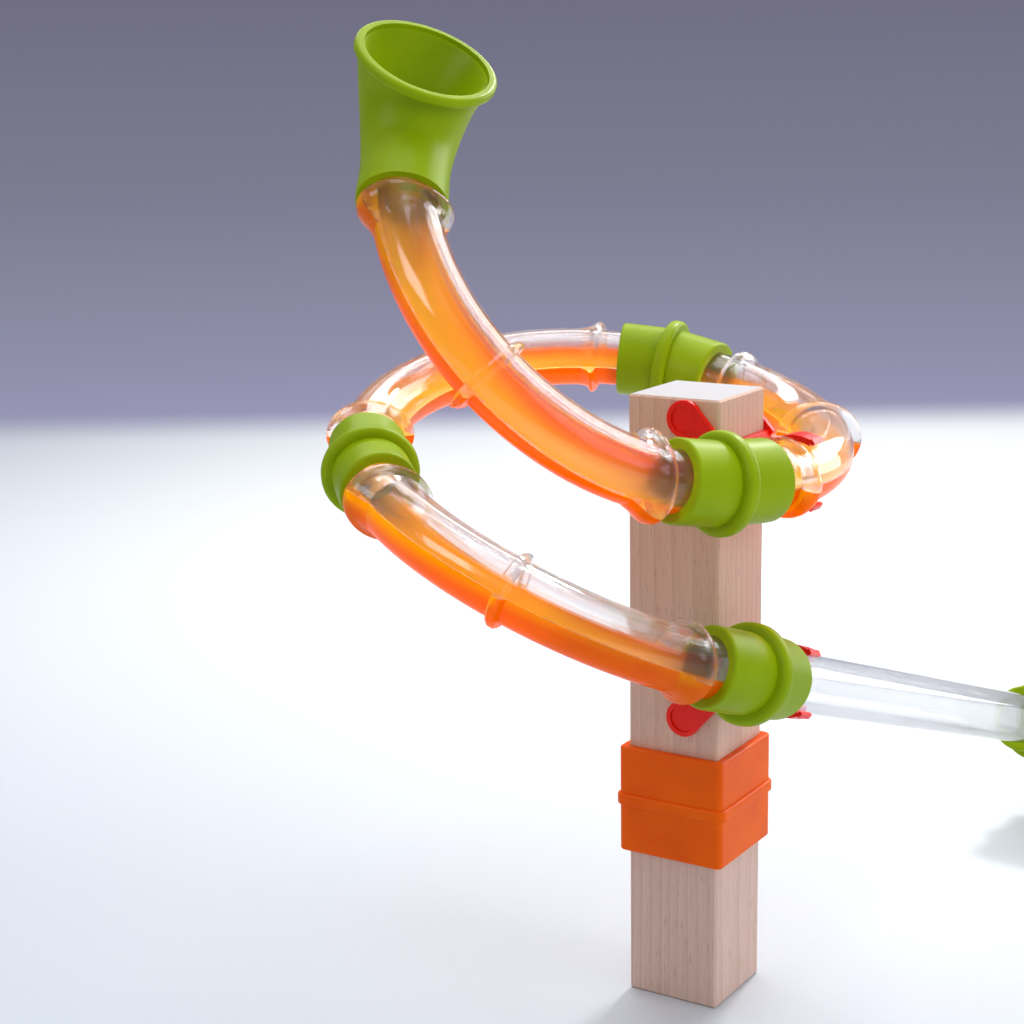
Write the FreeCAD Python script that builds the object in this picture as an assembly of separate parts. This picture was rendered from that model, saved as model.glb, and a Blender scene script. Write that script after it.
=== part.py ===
"""Marble run: a spiral of two-tone tubes joined by silicone connectors and clipped to a square wooden post.

Millimetres. The origin is the centre of the post's foot, +Z is up the post, +X leaves the face that
carries the clips and +Y runs along that face towards the straight outlet tube.
"""
import FreeCAD, Part
import math
import os

V = FreeCAD.Vector

# ---- wooden post: two blocks end to end, held in line by a square silicone band ----
post_side = 40.0
lower_block_height = 85.0
upper_block_height = 168.0
post_edge_chamfer = 0.8
band_height = 45.0
band_wall = 3.4
band_corner_radius = 2.8
band_edge_round = 1.0
band_rib_height = 5.0
band_rib_out = 1.2
band_clearance = 0.05

# ---- curved tubes: every one the same bend, a clear half on an orange half ----
bend_radius = 93.5           # centreline
bend_angle = 111.5           # degrees turned by the bend
tube_radius = 12.8
bore_radius = 11.0           # the marble's way, the same all along
plug_radius = 12.2           # thinner end that pushes into a connector
plug_straight = 15.5         # connector centre to the start of the bend
plug_tip_gap = 3.5           # connector centre to the tip of the plug
push_fit_clearance = 0.05
collar_setback = 32.2        # connector centre to the collar's end face
collar_length = 10.2         # a round bead, then side fins that run out into the tube
collar_half_width = 18.4     # across the seam, where the halves are joined
collar_half_height = 15.6
mid_ring_half_width = 18.0
mid_ring_half_height = 15.4
mid_ring_length = 5.0
mid_ring_sink = 0.4          # how deep its skirts start inside the tube's wall
oval_excess = 0.01           # keeps the skirts oval, as the loft wants

# ---- silicone connectors ----
sleeve_radius = 16.25
sleeve_half_length = 23.2
sleeve_lip_round = 1.3
bead_radius = 20.1
bead_length = 6.0
bead_round = 2.2
stop_clearance = 0.2         # plug tip to the rib inside the connector

# ---- the way down, from the connector on the upper clip ----
first_connector_out = 11.8   # beyond the face that carries the clips
first_connector_aside = 23.0  # beyond the post's side
first_connector_drop = 1.3   # below the middle of the upper clip's plate
tube_a_heading, tube_a_slope, tube_a_roll = 18.4, -46.7, 25.2
tube_b_heading, tube_b_slope, tube_b_roll = 124.1, 6.8, 10.1
tube_c_heading, tube_c_slope, tube_c_roll = -107.4, -8.7, -13.6
tube_d_heading, tube_d_slope, tube_d_roll = 11.2, -24.0, -6.4
outlet_heading, outlet_slope = 85.0, -18.9
outlet_length = 307.0        # connector centre to connector centre

# ---- silicone funnel ----
funnel_socket_radius = 16.9
funnel_socket_depth = 31.4   # from the tube's connector centre down to the socket's rim
funnel_lead_in = 1.8         # how much the socket opens towards its rim, over the bend of the plug
funnel_bend_start = 12.0     # below the tube's connector centre, where the outside starts to bend
funnel_elbow_rise = 2.0      # where the cup's axis leaves the socket's
funnel_cup_heading, funnel_cup_slope = 32.6, 75.6
funnel_cup_length = 29.7
funnel_mouth_radius = 26.8
funnel_mouth_heading, funnel_mouth_slope = -18.9, 56.6
funnel_flare = 1.5           # 1 for an even cone, more to flare late
funnel_wall = 3.2
funnel_lip_radius = 27.7
funnel_lip_width = 3.3
funnel_lip_height = 4.0
funnel_lip_round = 1.6
funnel_rim_depth = 0.2

# ---- red clips ----
clip_wall = 2.2
clip_plate_height = 17.0
clip_lug_radius = 7.4
clip_lug_rise = 17.8         # lug centre above the plate's centre
clip_lug_inset = 14.4        # lug centre in from the post's edge
clip_arm_rise = 5.6          # arm's root above the plate's centre, clear of the connector beside it
clip_arm_half_width = 2.9
clip_rim = 1.8
clip_recess = 0.9
clip_clearance = 0.05
lower_clip_gap = 8.6         # from the band's top edge up to the lower clip's lug
clip_pitch = 86.0            # from the lower clip up to the upper one
band_top = lower_block_height + band_height / 2
lower_clip_height = band_top + lower_clip_gap + clip_lug_radius + clip_lug_rise
upper_clip_height = lower_clip_height + clip_pitch
jaw_clearance = 0.2
jaw_wall = 2.4
jaw_length = 8.6
jaw_stem_height = 11.0
jaw_gap_half_angle = 62.0
jaw_lip_length = 1.6
jaw_lip_flare = 34.0
upper_jaw_station = 47.3     # connector centre to jaw centre along the curved tube, past its collar
lower_jaw_station = 37.6     # the same along the straight outlet tube

cutting_block = 90.0         # size of the blocks that trim a shape to one side of a plane

Z = V(0, 0, 1)


def save(name, shape):
    """Write one node; a single solid is written as such."""
    shape = shape.removeSplitter()
    solids = shape.Solids
    shape = solids[0] if len(solids) == 1 else shape
    shape.exportStep("parts/" + name + ".step")
    print(name, "solids", len(solids), "valid", shape.isValid(), "cm3", round(shape.Volume / 1000, 2))
    return shape


def unit(v):
    return V(v).normalize()


def direction(heading, slope):
    """Unit vector from a compass heading (from +X towards +Y) and a slope above level."""
    a, e = math.radians(heading), math.radians(slope)
    return V(math.cos(e) * math.cos(a), math.cos(e) * math.sin(a), math.sin(e))


def disc(radius, centre, normal):
    return Part.Wire(Part.makeCircle(radius, centre, normal))


def half_space(point, outward, size=cutting_block):
    """A block that fills the side of a plane that `outward` points to."""
    block = Part.makeBox(size, size, size, V(-size / 2, -size / 2, 0))
    block.Placement = FreeCAD.Placement(point, FreeCAD.Rotation(Z, outward))
    return block


# ------------------------------------------------------------------ runs
class Bend:
    """A curved tube's centreline: straight, arc, straight, between two connector centres.

    Distances s run from the first connector centre. `u` points away from the bend's centre, `n` is
    the side of the seam where the clear half lies.
    """

    def __init__(self, heading, slope, roll, start=None, end=None):
        self.half = math.radians(bend_angle / 2)
        self.length = 2 * plug_straight + 2 * self.half * bend_radius
        chord = direction(heading, slope)
        side = V(math.sin(math.radians(heading)), -math.cos(math.radians(heading)), 0)
        over = side.cross(chord)
        r = math.radians(roll)
        self.n = over * math.cos(r) + side * math.sin(r)
        self.u = chord.cross(self.n)
        self.chord = chord
        span = self.local(self.length)[0] - self.local(0)[0]
        first = start if start is not None else end - chord * span.Length
        self.origin = first - self.turn(self.local(0)[0])

    def local(self, s):
        """Point, direction of travel and outward direction in the bend's own plane."""
        arc = (s - plug_straight) / bend_radius - self.half
        a = max(-self.half, min(self.half, arc))
        out = V(math.cos(a), math.sin(a), 0)
        along = V(-math.sin(a), math.cos(a), 0)
        return out * bend_radius + along * ((arc - a) * bend_radius), along, out

    def turn(self, v):
        return self.u * v.x + self.chord * v.y + self.n * v.z

    def frame(self, s):
        p, along, out = self.local(s)
        return self.origin + self.turn(p), self.turn(along), self.turn(out)

    def wire(self, s0, s1):
        """The centreline between two distances, as tangent edges."""
        bend_start, bend_end = plug_straight, self.length - plug_straight
        edges = []
        if s0 < bend_start:
            edges.append(self.line(s0, min(s1, bend_start)))
        a, b = max(s0, bend_start), min(s1, bend_end)
        if b > a:
            pts = [self.frame(x)[0] for x in (a, (a + b) / 2, b)]
            edges.append(Part.Arc(*pts).toShape())
        if s1 > bend_end:
            edges.append(self.line(max(s0, bend_end), s1))
        return Part.Wire(edges)

    def line(self, s0, s1):
        return Part.makeLine(self.frame(s0)[0], self.frame(s1)[0])


class Straight:
    """A straight tube's centreline, with the same manners as a bend's."""

    def __init__(self, heading, slope, start, length):
        self.start, self.along, self.length = start, direction(heading, slope), length

    def frame(self, s):
        side = unit(self.along.cross(Z))
        return self.start + self.along * s, self.along, side

    def wire(self, s0, s1):
        return Part.Wire([Part.makeLine(self.frame(s0)[0], self.frame(s1)[0])])


def round_bar(run, radius, s0, s1):
    """A solid round bar along a run."""
    p, along, _ = run.frame(s0)
    return run.wire(s0, s1).makePipeShell([disc(radius, p, along)], True, False)


# ------------------------------------------------------------------ post
def wooden_block(height, z):
    block = Part.makeBox(post_side, post_side, height, V(-post_side / 2, -post_side / 2, z))
    return block.makeChamfer(post_edge_chamfer, block.Edges)


def rounded_square(side, corner, height, z):
    block = Part.makeBox(side, side, height, V(-side / 2, -side / 2, z))
    upright = [e for e in block.Edges if abs(e.tangentAt(e.FirstParameter).z) > 0.9]
    return block.makeFillet(corner, upright)


def band_edges(shape, z):
    return [e for e in shape.Edges if all(abs(v.Z - z) < 1e-6 for v in e.Vertexes)]


def silicone_band():
    """Square sleeve round the joint of the two blocks, with a rib all round its middle."""
    z0 = lower_block_height - band_height / 2
    outer_side = post_side + 2 * band_wall
    body = rounded_square(outer_side, band_corner_radius, band_height, z0)
    body = body.makeFillet(band_edge_round, band_edges(body, z0) + band_edges(body, z0 + band_height))
    rib_z = lower_block_height - band_rib_height / 2
    rib = rounded_square(outer_side + 2 * band_rib_out, band_corner_radius + band_rib_out,
                         band_rib_height, rib_z)
    rib = rib.makeFillet(band_rib_out * 0.8, band_edges(rib, rib_z) + band_edges(rib, rib_z + band_rib_height))
    hole = post_side + 2 * band_clearance
    hole = Part.makeBox(hole, hole, band_height, V(-hole / 2, -hole / 2, z0))
    return body.fuse(rib).cut(hole)


# ------------------------------------------------------------------ tubes
def ellipse(centre, along, out, half_width, half_height):
    """An oval across the run, its long way in the plane of the bend."""
    up = along.cross(out)
    points = [centre + out * half_width, centre + up * half_height]
    if half_width - half_height < 1e-6:
        return disc(half_width, centre, along)
    return Part.Wire(Part.Ellipse(points[0], points[1], centre).toShape())


def oval_loft(run, stations, straight=None):
    """Skin through ovals at (distance, half width, half height) along a run.

    Ovals lean from `straight`, if given, towards the run's own direction as they get further along.
    """
    wires = []
    for count, (s, wide, high) in enumerate(stations):
        centre, along, _ = run.frame(s)
        if straight:
            part = count / (len(stations) - 1)
            along = unit(straight * (1 - part) + along * part)
        wires.append(ellipse(centre, along, along.cross(run.n), wide, high))
    return Part.makeLoft(wires, True, True)


def collar(run, s, sense):
    """Round oval bead that the connector stops short of, with fins along the seam behind it.

    `sense` points into the tube. Each entry is the part of the collar's length, then how far the
    oval has swollen from the plug towards its full half width and half height.
    """
    swell = ((0.0, 0.40, 0.40), (0.04, 0.66, 0.66), (0.10, 0.88, 0.88), (0.18, 1.0, 1.0),
             (0.28, 1.0, 0.98), (0.36, 0.97, 0.80), (0.44, 0.89, 0.50), (0.56, 0.70, 0.24),
             (0.78, 0.34, 0.18), (1.0, 0.08, 0.17))
    plug_along = run.frame(0 if sense > 0 else run.length)[1]
    wide, high = collar_half_width - plug_radius, collar_half_height - plug_radius
    return oval_loft(run, [(s + sense * collar_length * part, plug_radius + wide * a, plug_radius + high * b)
                           for part, a, b in swell], plug_along)


def mid_ring(run):
    """Round oval bead where the tube's two bends of the mould meet."""
    swell = ((-0.5, 0.0), (-0.45, 0.40), (-0.34, 0.76), (-0.16, 0.98), (0.0, 1.0), (0.16, 0.98),
             (0.34, 0.76), (0.45, 0.40), (0.5, 0.0))
    base = tube_radius - mid_ring_sink
    wide, high = mid_ring_half_width - base, mid_ring_half_height - base
    return oval_loft(run, [(run.length / 2 + mid_ring_length * part, base + wide * a + oval_excess, base + high * a)
                           for part, a in swell])


def two_tone_tube(run):
    """The moulded tube, split along its seam into the clear half and the orange half."""
    end = run.length
    body = round_bar(run, plug_radius, plug_tip_gap, end - plug_tip_gap)
    inset = collar_setback + collar_length / 2
    body = body.fuse([round_bar(run, tube_radius, inset, end - inset),
                      collar(run, collar_setback, 1), collar(run, end - collar_setback, -1),
                      mid_ring(run)])
    body = body.cut(round_bar(run, bore_radius, 0, end))
    middle = (run.frame(0)[0] + run.frame(end)[0]) * 0.5 + run.u * (bend_radius * 0.2)
    size = 2.4 * bend_radius
    clear = body.common(half_space(middle, run.n, size))
    orange = body.common(half_space(middle, run.n * -1, size))
    return clear, orange


def outlet_tube(run):
    bar = round_bar(run, plug_radius, plug_tip_gap, run.length - plug_tip_gap)
    return bar.cut(round_bar(run, bore_radius, 0, run.length))


# ------------------------------------------------------------------ connectors
def half_sleeve(run, at_end, radius, near, far, lip=0.0):
    """A round bar over one tube's plug, from `near` to `far` of the connector's centre."""
    if not at_end:
        bar = round_bar(run, radius, near, far)
    else:
        bar = round_bar(run, radius, run.length - far, run.length - near)
    if lip:
        tip = run.frame(run.length - far if at_end else far)[0]
        rim = [e for e in bar.Edges if e.Closed and (e.CenterOfMass - tip).Length < 0.01]
        bar = bar.makeFillet(lip, rim)
    return bar


def connector(before, after):
    """Soft sleeve over two plugs, with a bead round its middle and a stop rib inside.

    It flexes at its middle where the two tubes don't line up.
    """
    centre, into, _ = before.frame(before.length)
    leave = after.frame(0)[1]
    bisector = unit(into + leave)
    ways = ((before, True, bisector * -1), (after, False, bisector))
    reach = plug_tip_gap - stop_clearance
    skin, hollow = [], []
    for run, at_end, side in ways:
        half = half_sleeve(run, at_end, sleeve_radius, -bead_length, sleeve_half_length, sleeve_lip_round)
        skin.append(half.common(half_space(centre, side)))
        hollow.append(half_sleeve(run, at_end, plug_radius + push_fit_clearance, reach,
                                  sleeve_half_length + 1))
        hollow.append(half_sleeve(run, at_end, bore_radius, -reach, reach + 1))
    bead = Part.makeCylinder(bead_radius, bead_length, centre - bisector * (bead_length / 2), bisector)
    rims = [e for e in bead.Edges if e.Closed and abs(e.Curve.Radius - bead_radius) < 1e-6]
    bead = bead.makeFillet(bead_round, rims)
    return skin[0].fuse([skin[1], bead]).cut(hollow)


# ------------------------------------------------------------------ funnel
def steady_ring(radius, centre, normal, beside):
    """A circle whose seam always lies towards `beside`, so that a loft through it doesn't twist."""
    circle = Part.Circle(centre, normal, radius)
    circle.XAxis = unit(beside - normal * beside.dot(normal))
    return Part.Wire(circle.toShape())


def neck_point(start, up, mouth, facing, t):
    """Point and direction on the smooth bend from the socket (t = 0) to the mouth (t = 1)."""
    span = (mouth - start).Length
    a, b = up * span, facing * span
    point = (start * (2 * t ** 3 - 3 * t ** 2 + 1) + a * (t ** 3 - 2 * t ** 2 + t)
             + mouth * (3 * t ** 2 - 2 * t ** 3) + b * (t ** 3 - t ** 2))
    slope = (start * (6 * t ** 2 - 6 * t) + a * (3 * t ** 2 - 4 * t + 1)
             + mouth * (6 * t - 6 * t ** 2) + b * (3 * t ** 2 - 2 * t))
    return point, unit(slope)


def neck_skin(straight, start, up, mouth, facing, radii):
    """Smooth skin up a straight stretch below `start`, then round the bend to the mouth."""
    low, high = radii
    beside = up.cross(mouth - start)
    rings = [steady_ring(low, start - up * drop, up, beside) for drop in straight]
    for step in range(6):
        t = step / 5
        centre, along = neck_point(start, up, mouth, facing, t)
        rings.append(steady_ring(low + (high - low) * t ** funnel_flare, centre, along, beside))
    return Part.makeLoft(rings, True, False)


def funnel(run):
    """Soft catcher on the first tube's plug: it bends from the sloping plug up to a tilted mouth."""
    base, along, _ = run.frame(0)
    up = along * -1
    facing = direction(funnel_mouth_heading, funnel_mouth_slope)
    cup = direction(funnel_cup_heading, funnel_cup_slope)
    mouth = base + up * funnel_elbow_rise + cup * funnel_cup_length
    rest = funnel_socket_depth - funnel_bend_start
    skin = neck_skin((rest, rest / 2), base - up * funnel_bend_start, up, mouth, facing,
                     (funnel_socket_radius, funnel_mouth_radius))
    lip = Part.makeCylinder(funnel_lip_radius, funnel_lip_height,
                            mouth - facing * (0.6 * funnel_lip_height), facing)
    lip = lip.makeFillet(funnel_lip_round, [e for e in lip.Edges if e.Closed])
    bowl = Part.makeCylinder(funnel_lip_radius - funnel_lip_width, 2 * funnel_lip_height,
                             mouth - facing * funnel_rim_depth, facing)
    tip = base - up * plug_tip_gap
    inside = neck_skin((plug_tip_gap,), tip, up, mouth, facing,
                       (bore_radius, funnel_mouth_radius - funnel_wall))
    fit = plug_radius + push_fit_clearance
    cone = Part.makeCone(fit + funnel_lead_in, fit, funnel_socket_depth - plug_straight,
                         base - up * funnel_socket_depth, up)
    bore = Part.makeCylinder(fit, plug_straight - plug_tip_gap + stop_clearance, base - up * plug_straight, up)
    return skin.fuse(lip).cut([inside, bowl, cone, bore])


# ------------------------------------------------------------------ clips
def lug_plate(sense, height):
    """Teardrop arm on the front face: from the post's edge up (or down) to a round lug."""
    half = post_side / 2 + clip_clearance
    edge = V(half + clip_wall, -half, height + sense * clip_arm_rise)
    eye = V(post_side / 2 - clip_lug_inset, -half, height + sense * clip_lug_rise)
    back = V(0, -1, 0)
    arm = unit(eye - edge)
    across = arm.cross(back)
    r, root = clip_lug_radius, clip_arm_half_width
    pts = [edge - across * root, eye - across * r, eye + across * r, edge + across * root]
    web = Part.Face(Part.makePolygon(pts + pts[:1])).extrude(back * clip_wall)
    round_end = Part.makeCylinder(r, clip_wall, eye, back)
    lug = web.fuse(round_end)
    inner = r - clip_rim
    dish = Part.makeCylinder(inner, clip_recess, eye + back * (clip_wall - clip_recess), back)
    return lug.cut(dish)


def jaw(run, s, opening, grip):
    """Springy C that grips the tube, its mouth turned to `opening`, with lips that flare out."""
    centre, along, _ = run.frame(s)
    out = unit(opening - along * opening.dot(along))
    up = out.cross(along)
    inner = grip + jaw_clearance
    outer = inner + jaw_wall

    def at(radius, degrees):
        a = math.radians(degrees)
        return out * (radius * math.cos(a)) + up * (radius * math.sin(a)) + centre - along * (jaw_length / 2)

    g = jaw_gap_half_angle
    edges = [Part.Arc(at(outer, g), at(outer, 180), at(outer, -g)).toShape(),
             Part.makeLine(at(outer, -g), at(inner, -g)),
             Part.Arc(at(inner, -g), at(inner, 180), at(inner, g)).toShape(),
             Part.makeLine(at(inner, g), at(outer, g))]
    ring = Part.Face(Part.Wire(edges)).extrude(along * jaw_length)
    lips = []
    for sign in (1, -1):
        root = at(inner + jaw_wall / 2, sign * g)
        flare = math.radians(jaw_lip_flare) * sign
        reach = out * math.cos(flare) + up * math.sin(flare)
        across = reach.cross(along)
        pts = [root - across * (jaw_wall / 2), root + across * (jaw_wall / 2),
               root + across * (jaw_wall / 2) + reach * jaw_lip_length,
               root - across * (jaw_wall / 2) + reach * jaw_lip_length]
        lips.append(Part.Face(Part.makePolygon(pts + pts[:1])).extrude(along * jaw_length))
    return ring.fuse(lips), centre, along, out


def jaw_stem(centre, along, out, wall_x):
    """Square-on block between the back of the jaw and the plate at X = wall_x."""
    tall = jaw_stem_height
    up = out.cross(along)
    corner = centre - along * (jaw_length / 2) - up * (tall / 2)
    pts = [corner, corner + along * jaw_length, corner + along * jaw_length + up * tall, corner + up * tall]
    bar = Part.Face(Part.makePolygon(pts + pts[:1])).extrude(out * (-2 * centre.x))
    return bar.cut(half_space(V(wall_x, centre.y, centre.z), V(-1, 0, 0), 4 * post_side))


def clip(run, station, grip, height, sense):
    """One moulded clip: plate on the post's face, two arms round its edges, jaw for the tube."""
    half = post_side / 2 + clip_clearance
    z0 = height - clip_plate_height / 2
    wide = 2 * (half + clip_wall)
    plate = Part.makeBox(clip_wall, wide, clip_plate_height, V(half, -half - clip_wall, z0))
    front = lug_plate(sense, height)
    rear = front.mirror(V(0, 0, 0), V(0, 1, 0))
    hook, centre, along, out = jaw(run, station, V(1, 0, 0), grip)
    inner = grip + jaw_clearance
    body = plate.fuse([front, rear, hook, jaw_stem(centre, along, out, half + clip_wall / 2)])
    hole = Part.makeCylinder(inner, 2 * jaw_length, centre - along * jaw_length, along)
    return body.cut(hole)


# ------------------------------------------------------------------ build
def build():
    os.makedirs("parts", exist_ok=True)
    half = post_side / 2
    first_connector = V(half + first_connector_out, -half - first_connector_aside,
                        upper_clip_height - first_connector_drop)
    tube_a = Bend(tube_a_heading, tube_a_slope, tube_a_roll, end=first_connector)
    tube_b = Bend(tube_b_heading, tube_b_slope, tube_b_roll, start=first_connector)
    tube_c = Bend(tube_c_heading, tube_c_slope, tube_c_roll, start=tube_b.frame(tube_b.length)[0])
    tube_d = Bend(tube_d_heading, tube_d_slope, tube_d_roll, start=tube_c.frame(tube_c.length)[0])
    outlet = Straight(outlet_heading, outlet_slope, tube_d.frame(tube_d.length)[0], outlet_length)
    beyond = Straight(outlet_heading, outlet_slope, outlet.frame(outlet_length)[0], outlet_length)

    save("lower_block", wooden_block(lower_block_height, 0))
    save("upper_block", wooden_block(upper_block_height, lower_block_height))
    save("post_band", silicone_band())
    for letter, run in zip("abcd", (tube_a, tube_b, tube_c, tube_d)):
        clear, orange = two_tone_tube(run)
        save("tube_" + letter + "_clear", clear)
        save("tube_" + letter + "_orange", orange)
    save("outlet_tube", outlet_tube(outlet))
    save("connector_1", connector(tube_a, tube_b))
    save("connector_2", connector(tube_b, tube_c))
    save("connector_3", connector(tube_c, tube_d))
    save("connector_4", connector(tube_d, outlet))
    save("connector_5", connector(outlet, beyond))
    save("funnel", funnel(tube_a))
    save("upper_clip", clip(tube_b, upper_jaw_station, tube_radius, upper_clip_height, 1))
    save("lower_clip", clip(outlet, lower_jaw_station, plug_radius, lower_clip_height, -1))


build()
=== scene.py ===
"""Looks of the marble run: materials, floor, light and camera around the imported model."""

import bpy
import math
from mathutils import Matrix, Vector

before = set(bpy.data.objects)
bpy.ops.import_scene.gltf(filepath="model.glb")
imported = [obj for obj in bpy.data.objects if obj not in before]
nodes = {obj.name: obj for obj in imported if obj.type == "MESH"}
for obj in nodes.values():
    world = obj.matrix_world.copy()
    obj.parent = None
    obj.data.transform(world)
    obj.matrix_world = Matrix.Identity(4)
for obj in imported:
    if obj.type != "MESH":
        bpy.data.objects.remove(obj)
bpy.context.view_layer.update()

POST_TURN = math.radians(32.6)      # the post stands turned to the camera by this angle
CAMERA_PLACE = (0.3530, -0.6896, 0.3758)
CAMERA_DOWN = math.radians(12.51)
CAMERA_ROLL = 0.0165
LENS_MM = 69.05


def turned(x, y, z):
    """A direction or place given as camera-right, away, up, in the object's frame."""
    c, s = math.cos(POST_TURN), math.sin(POST_TURN)
    return Vector((c * x - s * y, s * x + c * y, z))


# ---------------------------------------------------------------- material helpers
class Shader:
    """Short-hand for building the node tree of one material, or of the world."""

    def __init__(self, name, world=None):
        self.owner = world or bpy.data.materials.new(name)
        self.owner.use_nodes = True
        self.tree = self.owner.node_tree
        self.tree.nodes.clear()
        self.out = self.tree.nodes.new("ShaderNodeOutputWorld" if world else "ShaderNodeOutputMaterial")
        self.coords = self.add("ShaderNodeTexCoord")

    def add(self, kind, **props):
        node = self.tree.nodes.new(kind)
        for key, value in props.items():
            setattr(node, key, value)
        return node

    def link(self, a, b):
        self.tree.links.new(a, b)

    def stretched(self, scale=(1, 1, 1), where=(0, 0, 0)):
        """Object coordinates in metres, scaled per axis, from another origin."""
        m = self.add("ShaderNodeMapping")
        m.inputs["Scale"].default_value = scale
        m.inputs["Location"].default_value = where
        self.link(self.coords.outputs["Object"], m.inputs["Vector"])
        return m.outputs["Vector"]

    def noise(self, vector, scale, detail, rough=0.5):
        n = self.add("ShaderNodeTexNoise")
        n.inputs["Scale"].default_value = scale
        n.inputs["Detail"].default_value = detail
        n.inputs["Roughness"].default_value = rough
        self.link(vector, n.inputs["Vector"])
        return n.outputs["Fac"]

    def ramp(self, value, *stops):
        r = self.add("ShaderNodeValToRGB")
        elements = r.color_ramp.elements
        while len(elements) < len(stops):
            elements.new(0.5)
        for element, (at, colour) in zip(elements, stops):
            element.position = at
            element.color = (*colour, 1.0)
        self.link(value, r.inputs["Fac"])
        return r.outputs["Color"]

    def span(self, value, low, high, from_low=0.0, from_high=1.0):
        m = self.add("ShaderNodeMapRange")
        m.inputs["From Min"].default_value = from_low
        m.inputs["From Max"].default_value = from_high
        m.inputs["To Min"].default_value = low
        m.inputs["To Max"].default_value = high
        self.link(value, m.inputs["Value"])
        return m.outputs["Result"]

    def smooth(self, value, from_low, from_high):
        """0 below from_low, 1 above from_high, and an even slope between."""
        m = self.add("ShaderNodeMapRange", interpolation_type="SMOOTHSTEP")
        m.inputs["From Min"].default_value = from_low
        m.inputs["From Max"].default_value = from_high
        self.link(value, m.inputs["Value"])
        return m.outputs["Result"]

    def math(self, op, a, b=None):
        m = self.add("ShaderNodeMath", operation=op)
        for socket, value in zip(m.inputs, (a, b)):
            if value is None:
                continue
            if isinstance(value, (int, float)):
                socket.default_value = value
            else:
                self.link(value, socket)
        return m.outputs[0]

    def vector(self, op, a, b, result="Vector"):
        """Vector maths of a linked `a` and `b`, which is linked, a vector, or the number to scale by."""
        m = self.add("ShaderNodeVectorMath", operation=op)
        self.link(a, m.inputs[0])
        if isinstance(b, bpy.types.NodeSocket):
            self.link(b, m.inputs[1])
        elif op == "SCALE":
            m.inputs["Scale"].default_value = b
        else:
            m.inputs[1].default_value = b
        return m.outputs[result]

    def mix(self, factor, a, b, kind="MIX"):
        m = self.add("ShaderNodeMix", data_type="RGBA", blend_type=kind)
        for socket, value in ((m.inputs["Factor"], factor), (m.inputs[6], a), (m.inputs[7], b)):
            if isinstance(value, (int, float)):
                socket.default_value = value
            elif isinstance(value, tuple):
                socket.default_value = (*value, 1.0)
            else:
                self.link(value, socket)
        return m.outputs[2]

    def bump(self, height, strength, distance, after=None):
        b = self.add("ShaderNodeBump")
        b.inputs["Strength"].default_value = strength
        b.inputs["Distance"].default_value = distance
        self.link(height, b.inputs["Height"])
        if after is not None:
            self.link(after, b.inputs["Normal"])
        return b.outputs["Normal"]

    def principled(self, normal=None, **sockets):
        p = self.add("ShaderNodeBsdfPrincipled")
        for key, value in sockets.items():
            socket = p.inputs[key.replace("_", " ")]
            if isinstance(value, bpy.types.NodeSocket):
                self.link(value, socket)
            elif socket.type == "RGBA":
                socket.default_value = (*value, 1.0)
            else:
                socket.default_value = value
        if normal is not None:
            self.link(normal, p.inputs["Normal"])
        return p.outputs["BSDF"]

    def blend(self, share, first, second):
        """Mixes two shaders; `share` is how much of the second there is."""
        both = self.add("ShaderNodeMixShader")
        if isinstance(share, (int, float)):
            both.inputs["Fac"].default_value = share
        else:
            self.link(share, both.inputs["Fac"])
        self.link(first, both.inputs[1])
        self.link(second, both.inputs[2])
        return both.outputs["Shader"]

    def see_through(self, tint=(1.0, 1.0, 1.0)):
        clear = self.add("ShaderNodeBsdfTransparent")
        clear.inputs["Color"].default_value = (*tint, 1.0)
        return clear.outputs["BSDF"]

    def glow(self, tone):
        """Light that comes through from the other side."""
        back_lit = self.add("ShaderNodeBsdfTranslucent")
        self.link(tone, back_lit.inputs["Color"])
        return back_lit.outputs["BSDF"]

    def axis(self, vector, name):
        parts = self.add("ShaderNodeSeparateXYZ")
        self.link(vector, parts.inputs[0])
        return parts.outputs[name]

    def finish(self, surface):
        self.link(surface, self.out.inputs["Surface"])
        return self.owner

    def light_through(self, surface, tint, amount):
        """Lets a share of the shadow rays through, tinted, for a shadow as light as the real one."""
        path = self.add("ShaderNodeLightPath")
        share = self.math("MULTIPLY", path.outputs["Is Shadow Ray"], amount)
        return self.blend(share, surface, self.see_through(tint))


# ---------------------------------------------------------------- materials
EARLY_WOOD, MID_WOOD, LATE_WOOD = (0.69, 0.50, 0.41), (0.64, 0.44, 0.35), (0.54, 0.37, 0.29)
PALE_CLOUD, STREAK, FLECK = (0.68, 0.51, 0.43), (0.54, 0.36, 0.275), (0.40, 0.23, 0.15)
# The end-grain tone is partly real end grain and partly a painted pale bluish sheen of the light on the
# top face.
END_GRAIN_AND_PAINTED_SHEEN, END_PORE = (0.50, 0.53, 0.57), (0.42, 0.41, 0.39)
RING_WOBBLE, FLECK_SHARE = 0.012, 0.45     # metres, and how dark the flecks show
LOWER_PITH, LOWER_HUE = (0.11, 0.06, 0.0), (1.03, 1.02, 1.04)
UPPER_PITH, UPPER_HUE = (-0.05, 0.09, 0.0), (1.04, 0.97, 0.91)
# deep tone, bright tone, roughness, and the tint of the light that gets through
GREEN = ((0.265, 0.395, 0.001), (0.33, 0.46, 0.002), 0.37, (0.80, 0.85, 0.25))
BAND = ((0.86, 0.110, 0.0005), (0.94, 0.140, 0.0005), 0.40, (0.9, 0.35, 0.1))
# share of light that glows through, and share of a shadow that is lit through
SILICONE_GLOW, SILICONE_SHADOW = 0.1, 0.3
ORANGE_GLOW, ORANGE_SHADOW = 0.5, 0.85
CLEAR_STRAIGHT, CLEAR_SHADOW = 0.32, 0.95
CLEAR_TINT, CLEAR_LIGHT = (0.99, 0.99, 1.0), (0.985, 0.985, 0.99)
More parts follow.
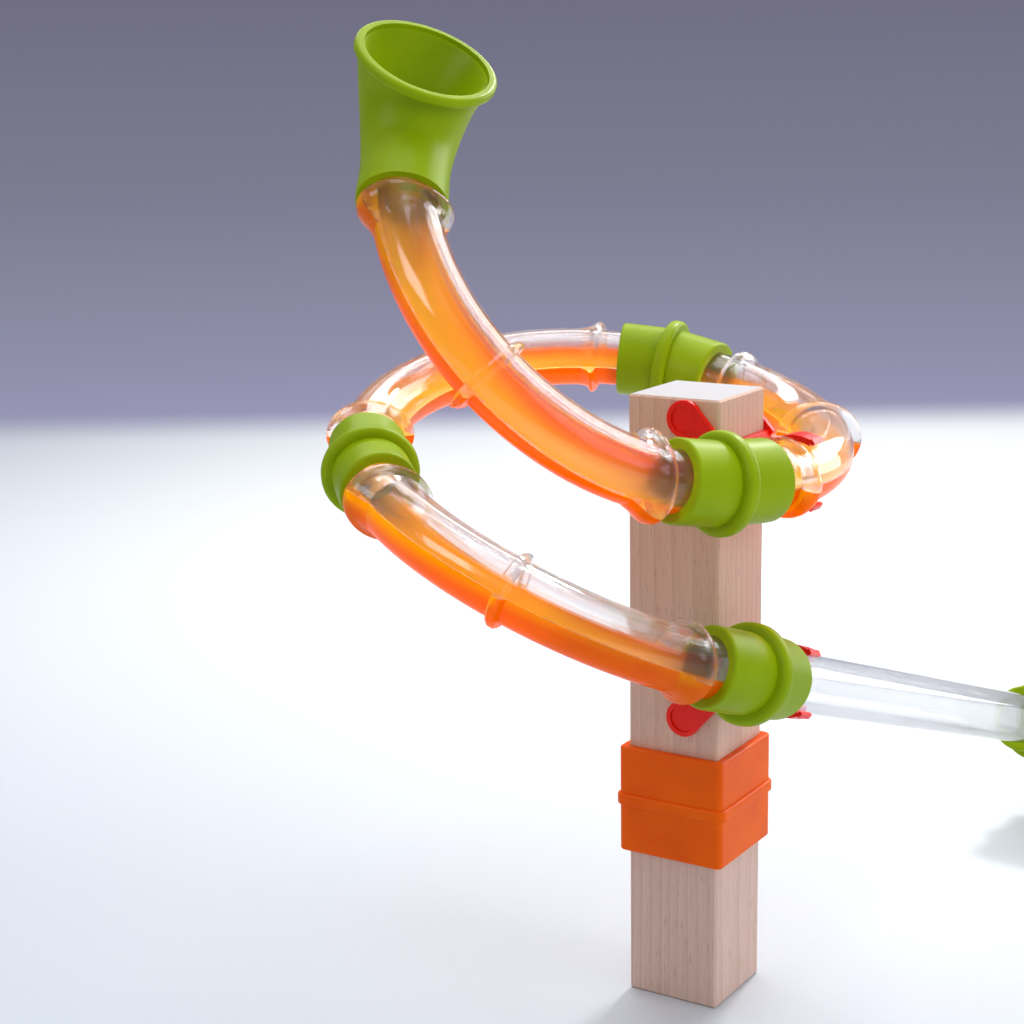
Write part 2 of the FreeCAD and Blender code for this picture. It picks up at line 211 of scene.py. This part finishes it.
# two tones each, between which a slow cloud moves
# Painted light and shade: the first orange pair is the painted shade of faces turned down, the second the
# painted light of faces turned up; the glow pair below holds painted shade, then painted light, the same
# way.
ORANGE_PAINTED_SHADE = ((0.80, 0.205, 0.001), (0.84, 0.245, 0.001))
ORANGE_PAINTED_LIGHT = ((1.0, 0.60, 0.001), (1.0, 0.68, 0.002))
ORANGE_GLOW_PAINTED_SHADE_AND_LIGHT = ((0.80, 0.155, 0.0005), (1.0, 0.60, 0.001))
ORANGE_LIGHT = (1.0, 0.68, 0.25)
RED = ((0.80, 0.006, 0.001), (0.88, 0.012, 0.001))


def beech(name, pith, hue):
    """Sanded beech: rings round a far pith, fine flecks along the grain, and greyer end grain whose pale
    bluish tone is partly the end grain and partly a painted sheen of the light on the top.
    """
    s = Shader(name)
    bent = s.noise(s.stretched((1, 1, 0.12)), 22, 2)
    place = s.stretched((1, 1, 0.02), pith)
    moved = s.vector("ADD", place, s.vector("SCALE", bent, RING_WOBBLE))
    rings = s.add("ShaderNodeTexWave", wave_type="RINGS", rings_direction="Z", wave_profile="SAW")
    rings.inputs["Scale"].default_value = 75
    rings.inputs["Distortion"].default_value = 1.2
    rings.inputs["Detail"].default_value = 2
    s.link(moved, rings.inputs["Vector"])
    streaks = s.noise(s.stretched((1, 1, 0.035)), 900, 3, 0.6)
    broad = s.noise(s.stretched((1, 1, 0.08)), 60, 2)
    flecks = s.noise(s.stretched((1, 1, 0.09)), 1500, 1, 0.3)
    fleck = s.span(flecks, 0.0, 1.0, 0.62, 0.72)
    base = s.ramp(rings.outputs["Fac"], (0.0, EARLY_WOOD), (0.75, MID_WOOD), (1.0, LATE_WOOD))
    tone = s.mix(s.span(broad, 0, 0.55, 0.3, 0.75), base, PALE_CLOUD)
    tone = s.mix(s.span(streaks, 0, 0.5, 0.35, 0.8), tone, STREAK)
    tone = s.mix(s.math("MULTIPLY", fleck, FLECK_SHARE), tone, FLECK)
    tone = s.mix(1.0, tone, hue, "MULTIPLY")
    # Top and bottom faces: partly end grain, partly a painted pale sheen of the light on the top face.
    end = s.span(s.math("ABSOLUTE", s.axis(s.coords.outputs["Normal"], "Z")), 0, 1, 0.8, 0.95)
    pores = s.noise(s.stretched(), 2600, 2)
    cut = s.mix(0.8, base, END_GRAIN_AND_PAINTED_SHEEN)
    end_and_sheen_tone = s.mix(s.span(pores, 0, 0.5, 0.45, 0.75), cut, END_PORE)
    tone = s.mix(end, tone, end_and_sheen_tone)
    rough = s.span(streaks, 0.5, 0.68)
    normal = s.bump(streaks, 0.25, 0.0002)
    normal = s.bump(flecks, 0.15, 0.00015, normal)
    return s.finish(s.principled(normal, Base_Color=tone, Roughness=rough, Specular_IOR_Level=0.3))


def silicone(name, deep, bright, rough, through):
    """Soft moulded silicone: a little light goes in; satin, with slow clouds and fine grain."""
    s = Shader(name)
    cloud = s.noise(s.stretched(), 38, 2)
    fine = s.noise(s.stretched(), 2600, 2)
    smudge = s.noise(s.stretched(), 420, 4, 0.65)
    tone = s.mix(s.span(cloud, 0, 1, 0.35, 0.65), deep, bright)
    roughness = s.math("ADD", s.span(cloud, rough - 0.03, rough + 0.03, 0.35, 0.65),
                       s.span(smudge, 0, 0.10, 0.55, 0.75))
    normal = s.bump(fine, 0.08, 0.0001)
    normal = s.bump(cloud, 0.06, 0.0008, normal)
    skin = s.principled(normal, Base_Color=tone, Roughness=roughness, Subsurface_Weight=0.2,
                        Subsurface_Radius=(1.0, 0.9, 0.1), Subsurface_Scale=0.003, Specular_IOR_Level=0.12)
    body = s.blend(SILICONE_GLOW, skin, s.glow(tone))
    return s.finish(s.light_through(body, through, SILICONE_SHADOW))


def clear_plastic(name):
    """Polished clear plastic, thin enough that it hardly bends the view, under a hard gloss."""
    s = Shader(name)
    ripple = s.noise(s.stretched(), 55, 2)
    smudge = s.noise(s.stretched(), 160, 4, 0.6)
    rough = s.span(smudge, 0.0, 0.03, 0.5, 0.85)
    tint = s.mix(s.span(ripple, 0, 1, 0.3, 0.7), CLEAR_TINT, (1.0, 1.0, 1.0))
    normal = s.bump(ripple, 0.06, 0.0006)
    glass = s.principled(normal, Base_Color=tint, Roughness=rough, IOR=1.2, Transmission_Weight=0.975,
                         Coat_Weight=1.0, Coat_IOR=1.5, Coat_Roughness=0.03)
    body = s.blend(CLEAR_STRAIGHT, glass, s.see_through(CLEAR_TINT))
    return s.finish(s.light_through(body, CLEAR_LIGHT, CLEAR_SHADOW))


def orange_plastic(name):
    """Translucent orange plastic with painted light and shade: faces turned up are painted a lit yellow,
    faces turned down a shaded deep orange, in the colour and in the glow.
    """
    s = Shader(name)
    ripple = s.noise(s.stretched(), 55, 2)
    smudge = s.noise(s.stretched(), 160, 4, 0.6)
    rough = s.span(smudge, 0.04, 0.14, 0.45, 0.8)
    slow = s.span(ripple, 0, 1, 0.3, 0.7)
    # Painted light and shade by facing: up-facing faces get the lit yellow tones, down-facing faces the
    # shaded deep orange, in the colour and in the glow.
    facing_up = s.smooth(s.axis(s.coords.outputs["Normal"], "Z"), -0.35, 0.45)
    painted_tone = s.mix(facing_up, s.mix(slow, *ORANGE_PAINTED_SHADE), s.mix(slow, *ORANGE_PAINTED_LIGHT))
    through = s.mix(facing_up, *ORANGE_GLOW_PAINTED_SHADE_AND_LIGHT)
    normal = s.bump(ripple, 0.12, 0.0006)
    skin = s.principled(normal, Base_Color=painted_tone, Roughness=rough, IOR=1.4, Transmission_Weight=0.05,
                        Specular_IOR_Level=0.1, Coat_Weight=0.45, Coat_IOR=1.5, Coat_Roughness=0.03)
    body = s.blend(ORANGE_GLOW, skin, s.glow(through))
    return s.finish(s.light_through(body, ORANGE_LIGHT, ORANGE_SHADOW))


def red_plastic(name):
    """Satin red plastic of the clips."""
    s = Shader(name)
    ripple = s.noise(s.stretched(), 130, 3)
    fine = s.noise(s.stretched(), 2500, 2)
    tone = s.mix(s.span(ripple, 0, 1, 0.3, 0.7), *RED)
    rough = s.span(fine, 0.22, 0.34, 0.3, 0.7)
    normal = s.bump(fine, 0.06, 0.0001)
    return s.finish(s.principled(normal, Base_Color=tone, Roughness=rough, Specular_IOR_Level=0.3,
                                 Subsurface_Weight=0.1, Subsurface_Radius=(1.0, 0.2, 0.1),
                                 Subsurface_Scale=0.002))


def dress():
    """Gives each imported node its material."""
    green, band = silicone("green_silicone", *GREEN), silicone("orange_silicone", *BAND)
    clear, orange = clear_plastic("clear_plastic"), orange_plastic("orange_plastic")
    red = red_plastic("red_plastic")
    lower = beech("beech_lower", LOWER_PITH, LOWER_HUE)
    upper = beech("beech_upper", UPPER_PITH, UPPER_HUE)
    looks = {"lower_block": lower, "upper_block": upper, "post_band": band, "outlet_tube": clear,
             "funnel": green, "upper_clip": red, "lower_clip": red}
    for name, obj in nodes.items():
        kind = name.rsplit("_", 1)[-1]
        if name.startswith("connector"):
            look = green
        elif name.startswith("tube"):
            look = clear if kind == "clear" else orange
        else:
            look = looks[name]
        for slot in obj.material_slots:
            slot.material = look


# ---------------------------------------------------------------- stage
FLOOR_HALF = 1.6                    # the table is a square turned with the camera
EDGE_NEAR, EDGE_FAR = 1.28, 1.50    # where its rim starts to melt away, and where it is gone
PAINTED_POOL_CENTRE = (0.25, 1.0, 0.0)        # a painted pool of light: the table is painted palest here, and painted darker and cooler further off
NEAR_TONES = ((0.775, 0.80, 0.815), (0.785, 0.81, 0.825))
PAINTED_FALLOFF_TONE = (0.515, 0.567, 0.622)
PAINTED_FALLOFF_SPAN = (0.3, 1.36)               # distances between which the painted fall-off of light goes over to the far tone
EVEN_LIGHT, EVEN_COLOUR = 0.64, (0.93, 0.94, 1.0, 1.0)
# height of a sight line (sine of its angle) and the colour of the wall there
WALL = ((-0.175, (0.330, 0.325, 0.490)), (-0.136, (0.275, 0.275, 0.400)), (-0.061, (0.205, 0.207, 0.290)),
        (0.037, (0.165, 0.157, 0.230)), (0.40, (0.17, 0.17, 0.24)), (0.80, (0.30, 0.30, 0.36)))
DARK_ROOM = (0.03, 0.03, 0.04)      # what gloss reflects of the room on the camera's side
ROOM_TO_WALL = (-0.5, 0.2)          # how far a reflected ray looks away from there, as a cosine
LAMP_TARGET = (0, 0, 0.2)


def floor():
    """A pale table top, turned with the camera, whose edges melt into the wall, with a painted pool of
    light that darkens and cools away from its centre.
    """
    bpy.ops.mesh.primitive_plane_add(size=2 * FLOOR_HALF)
    top = bpy.context.object
    top.name = "floor"
    top.rotation_euler = (0, 0, POST_TURN)
    s = Shader("table_top")
    place = s.coords.outputs["Object"]
    across, along = (s.math("ABSOLUTE", s.axis(place, name)) for name in "XY")
    fade = s.smooth(s.math("MAXIMUM", across, along), EDGE_NEAR, EDGE_FAR)
    grain = s.noise(s.stretched(), 12, 2)
    tone = s.mix(grain, *NEAR_TONES)
    # Painted fall-off of light: the table is mixed towards a darker, cooler tone with distance from the
    # painted pool's centre.
    away = s.vector("DISTANCE", place, PAINTED_POOL_CENTRE, "Value")
    tone = s.mix(s.smooth(away, *PAINTED_FALLOFF_SPAN), tone, PAINTED_FALLOFF_TONE)
    body = s.principled(None, Base_Color=tone, Roughness=0.6, Specular_IOR_Level=0.3)
    top.data.materials.append(s.finish(s.blend(fade, body, s.see_through())))


def backdrop():
    """Grey-violet wall, and a white ceiling, for the camera, glass and gloss; even light for the rest."""
    world = bpy.data.worlds.new("studio")
    bpy.context.scene.world = world
    s = Shader("studio", world)
    path = s.add("ShaderNodeLightPath")
    even, seen = s.add("ShaderNodeBackground"), s.add("ShaderNodeBackground")
    even.inputs["Color"].default_value = EVEN_COLOUR
    even.inputs["Strength"].default_value = EVEN_LIGHT
    sight = s.coords.outputs["Generated"]
    low, high = WALL[0][0], WALL[-1][0]
    height = s.span(s.axis(sight, "Z"), 0, 1, low, high)
    wall = s.ramp(height, *(((at - low) / (high - low), colour) for at, colour in WALL))
    away = s.vector("DOT_PRODUCT", sight, turned(0, 1, 0), "Value")
    room = s.math("SUBTRACT", 1.0, s.smooth(away, *ROOM_TO_WALL))
    room = s.math("MULTIPLY", room, path.outputs["Is Glossy Ray"])
    s.link(s.mix(room, wall, DARK_ROOM), seen.inputs["Color"])
    sharp = s.math("MAXIMUM", path.outputs["Is Camera Ray"], path.outputs["Is Transmission Ray"])
    share = s.math("MAXIMUM", sharp, path.outputs["Is Glossy Ray"])
    s.finish(s.blend(share, even.outputs[0], seen.outputs[0]))


def lamp(name, place, size, watts, colour=(1, 1, 1), width=None):
    """A round lamp aimed at the run, or with `width` a box lamp whose long side lies level."""
    data = bpy.data.lights.new(name, "AREA")
    data.shape = "RECTANGLE" if width else "DISK"
    data.size, data.energy, data.color = size, watts, colour
    if width:
        data.size_y = width
    obj = bpy.data.objects.new(name, data)
    bpy.context.scene.collection.objects.link(obj)
    obj.location = turned(*place)
    aim = turned(*LAMP_TARGET) - obj.location
    obj.rotation_euler = aim.to_track_quat("-Z", "Y").to_euler()
    obj.visible_camera = False
    return obj


def camera():
    data = bpy.data.cameras.new("camera")
    data.sensor_width, data.lens, data.clip_end = 36.0, LENS_MM, 20.0
    obj = bpy.data.objects.new("camera", data)
    bpy.context.scene.collection.objects.link(obj)
    right, up = turned(1, 0, 0), turned(0, math.sin(CAMERA_DOWN), math.cos(CAMERA_DOWN))
    ahead = turned(0, math.cos(CAMERA_DOWN), -math.sin(CAMERA_DOWN))
    roll = Matrix.Rotation(CAMERA_ROLL, 3, ahead)
    right, up = roll @ right, roll @ up
    turn = Matrix((right, up, -ahead)).transposed()
    obj.matrix_world = Matrix.Translation(CAMERA_PLACE) @ turn.to_4x4()
    bpy.context.scene.camera = obj


dress()
floor()
backdrop()
# name, place, size in metres and watts
lamp("key", (0.50, 0.95, 1.18), 0.20, 11, (1.0, 0.98, 0.97))
lamp("strip", (-0.1, 1.15, 1.25), 1.4, 7, width=0.3)
lamp("above", (-0.1, 0.15, 1.5), 0.9, 7, width=0.9)
# these only show as streaks in the gloss
for name, place, size, watts, width in (("left_gloss", (-0.85, -0.55, 0.75), 0.5, 2.5, 0.35),
                                        ("back_gloss", (0.85, 0.75, 0.80), 0.7, 7.5, 0.8),
                                        ("right_gloss", (1.25, 0.75, 0.45), 0.5, 4.0, 0.8)):
    lamp(name, place, size, watts, width=width).visible_diffuse = False
lamp("fill", (1.3, -0.8, 0.9), 1.0, 7.5, (0.98, 0.98, 1.0)).visible_glossy = False
camera()
bpy.context.scene.view_settings.view_transform = "Standard"
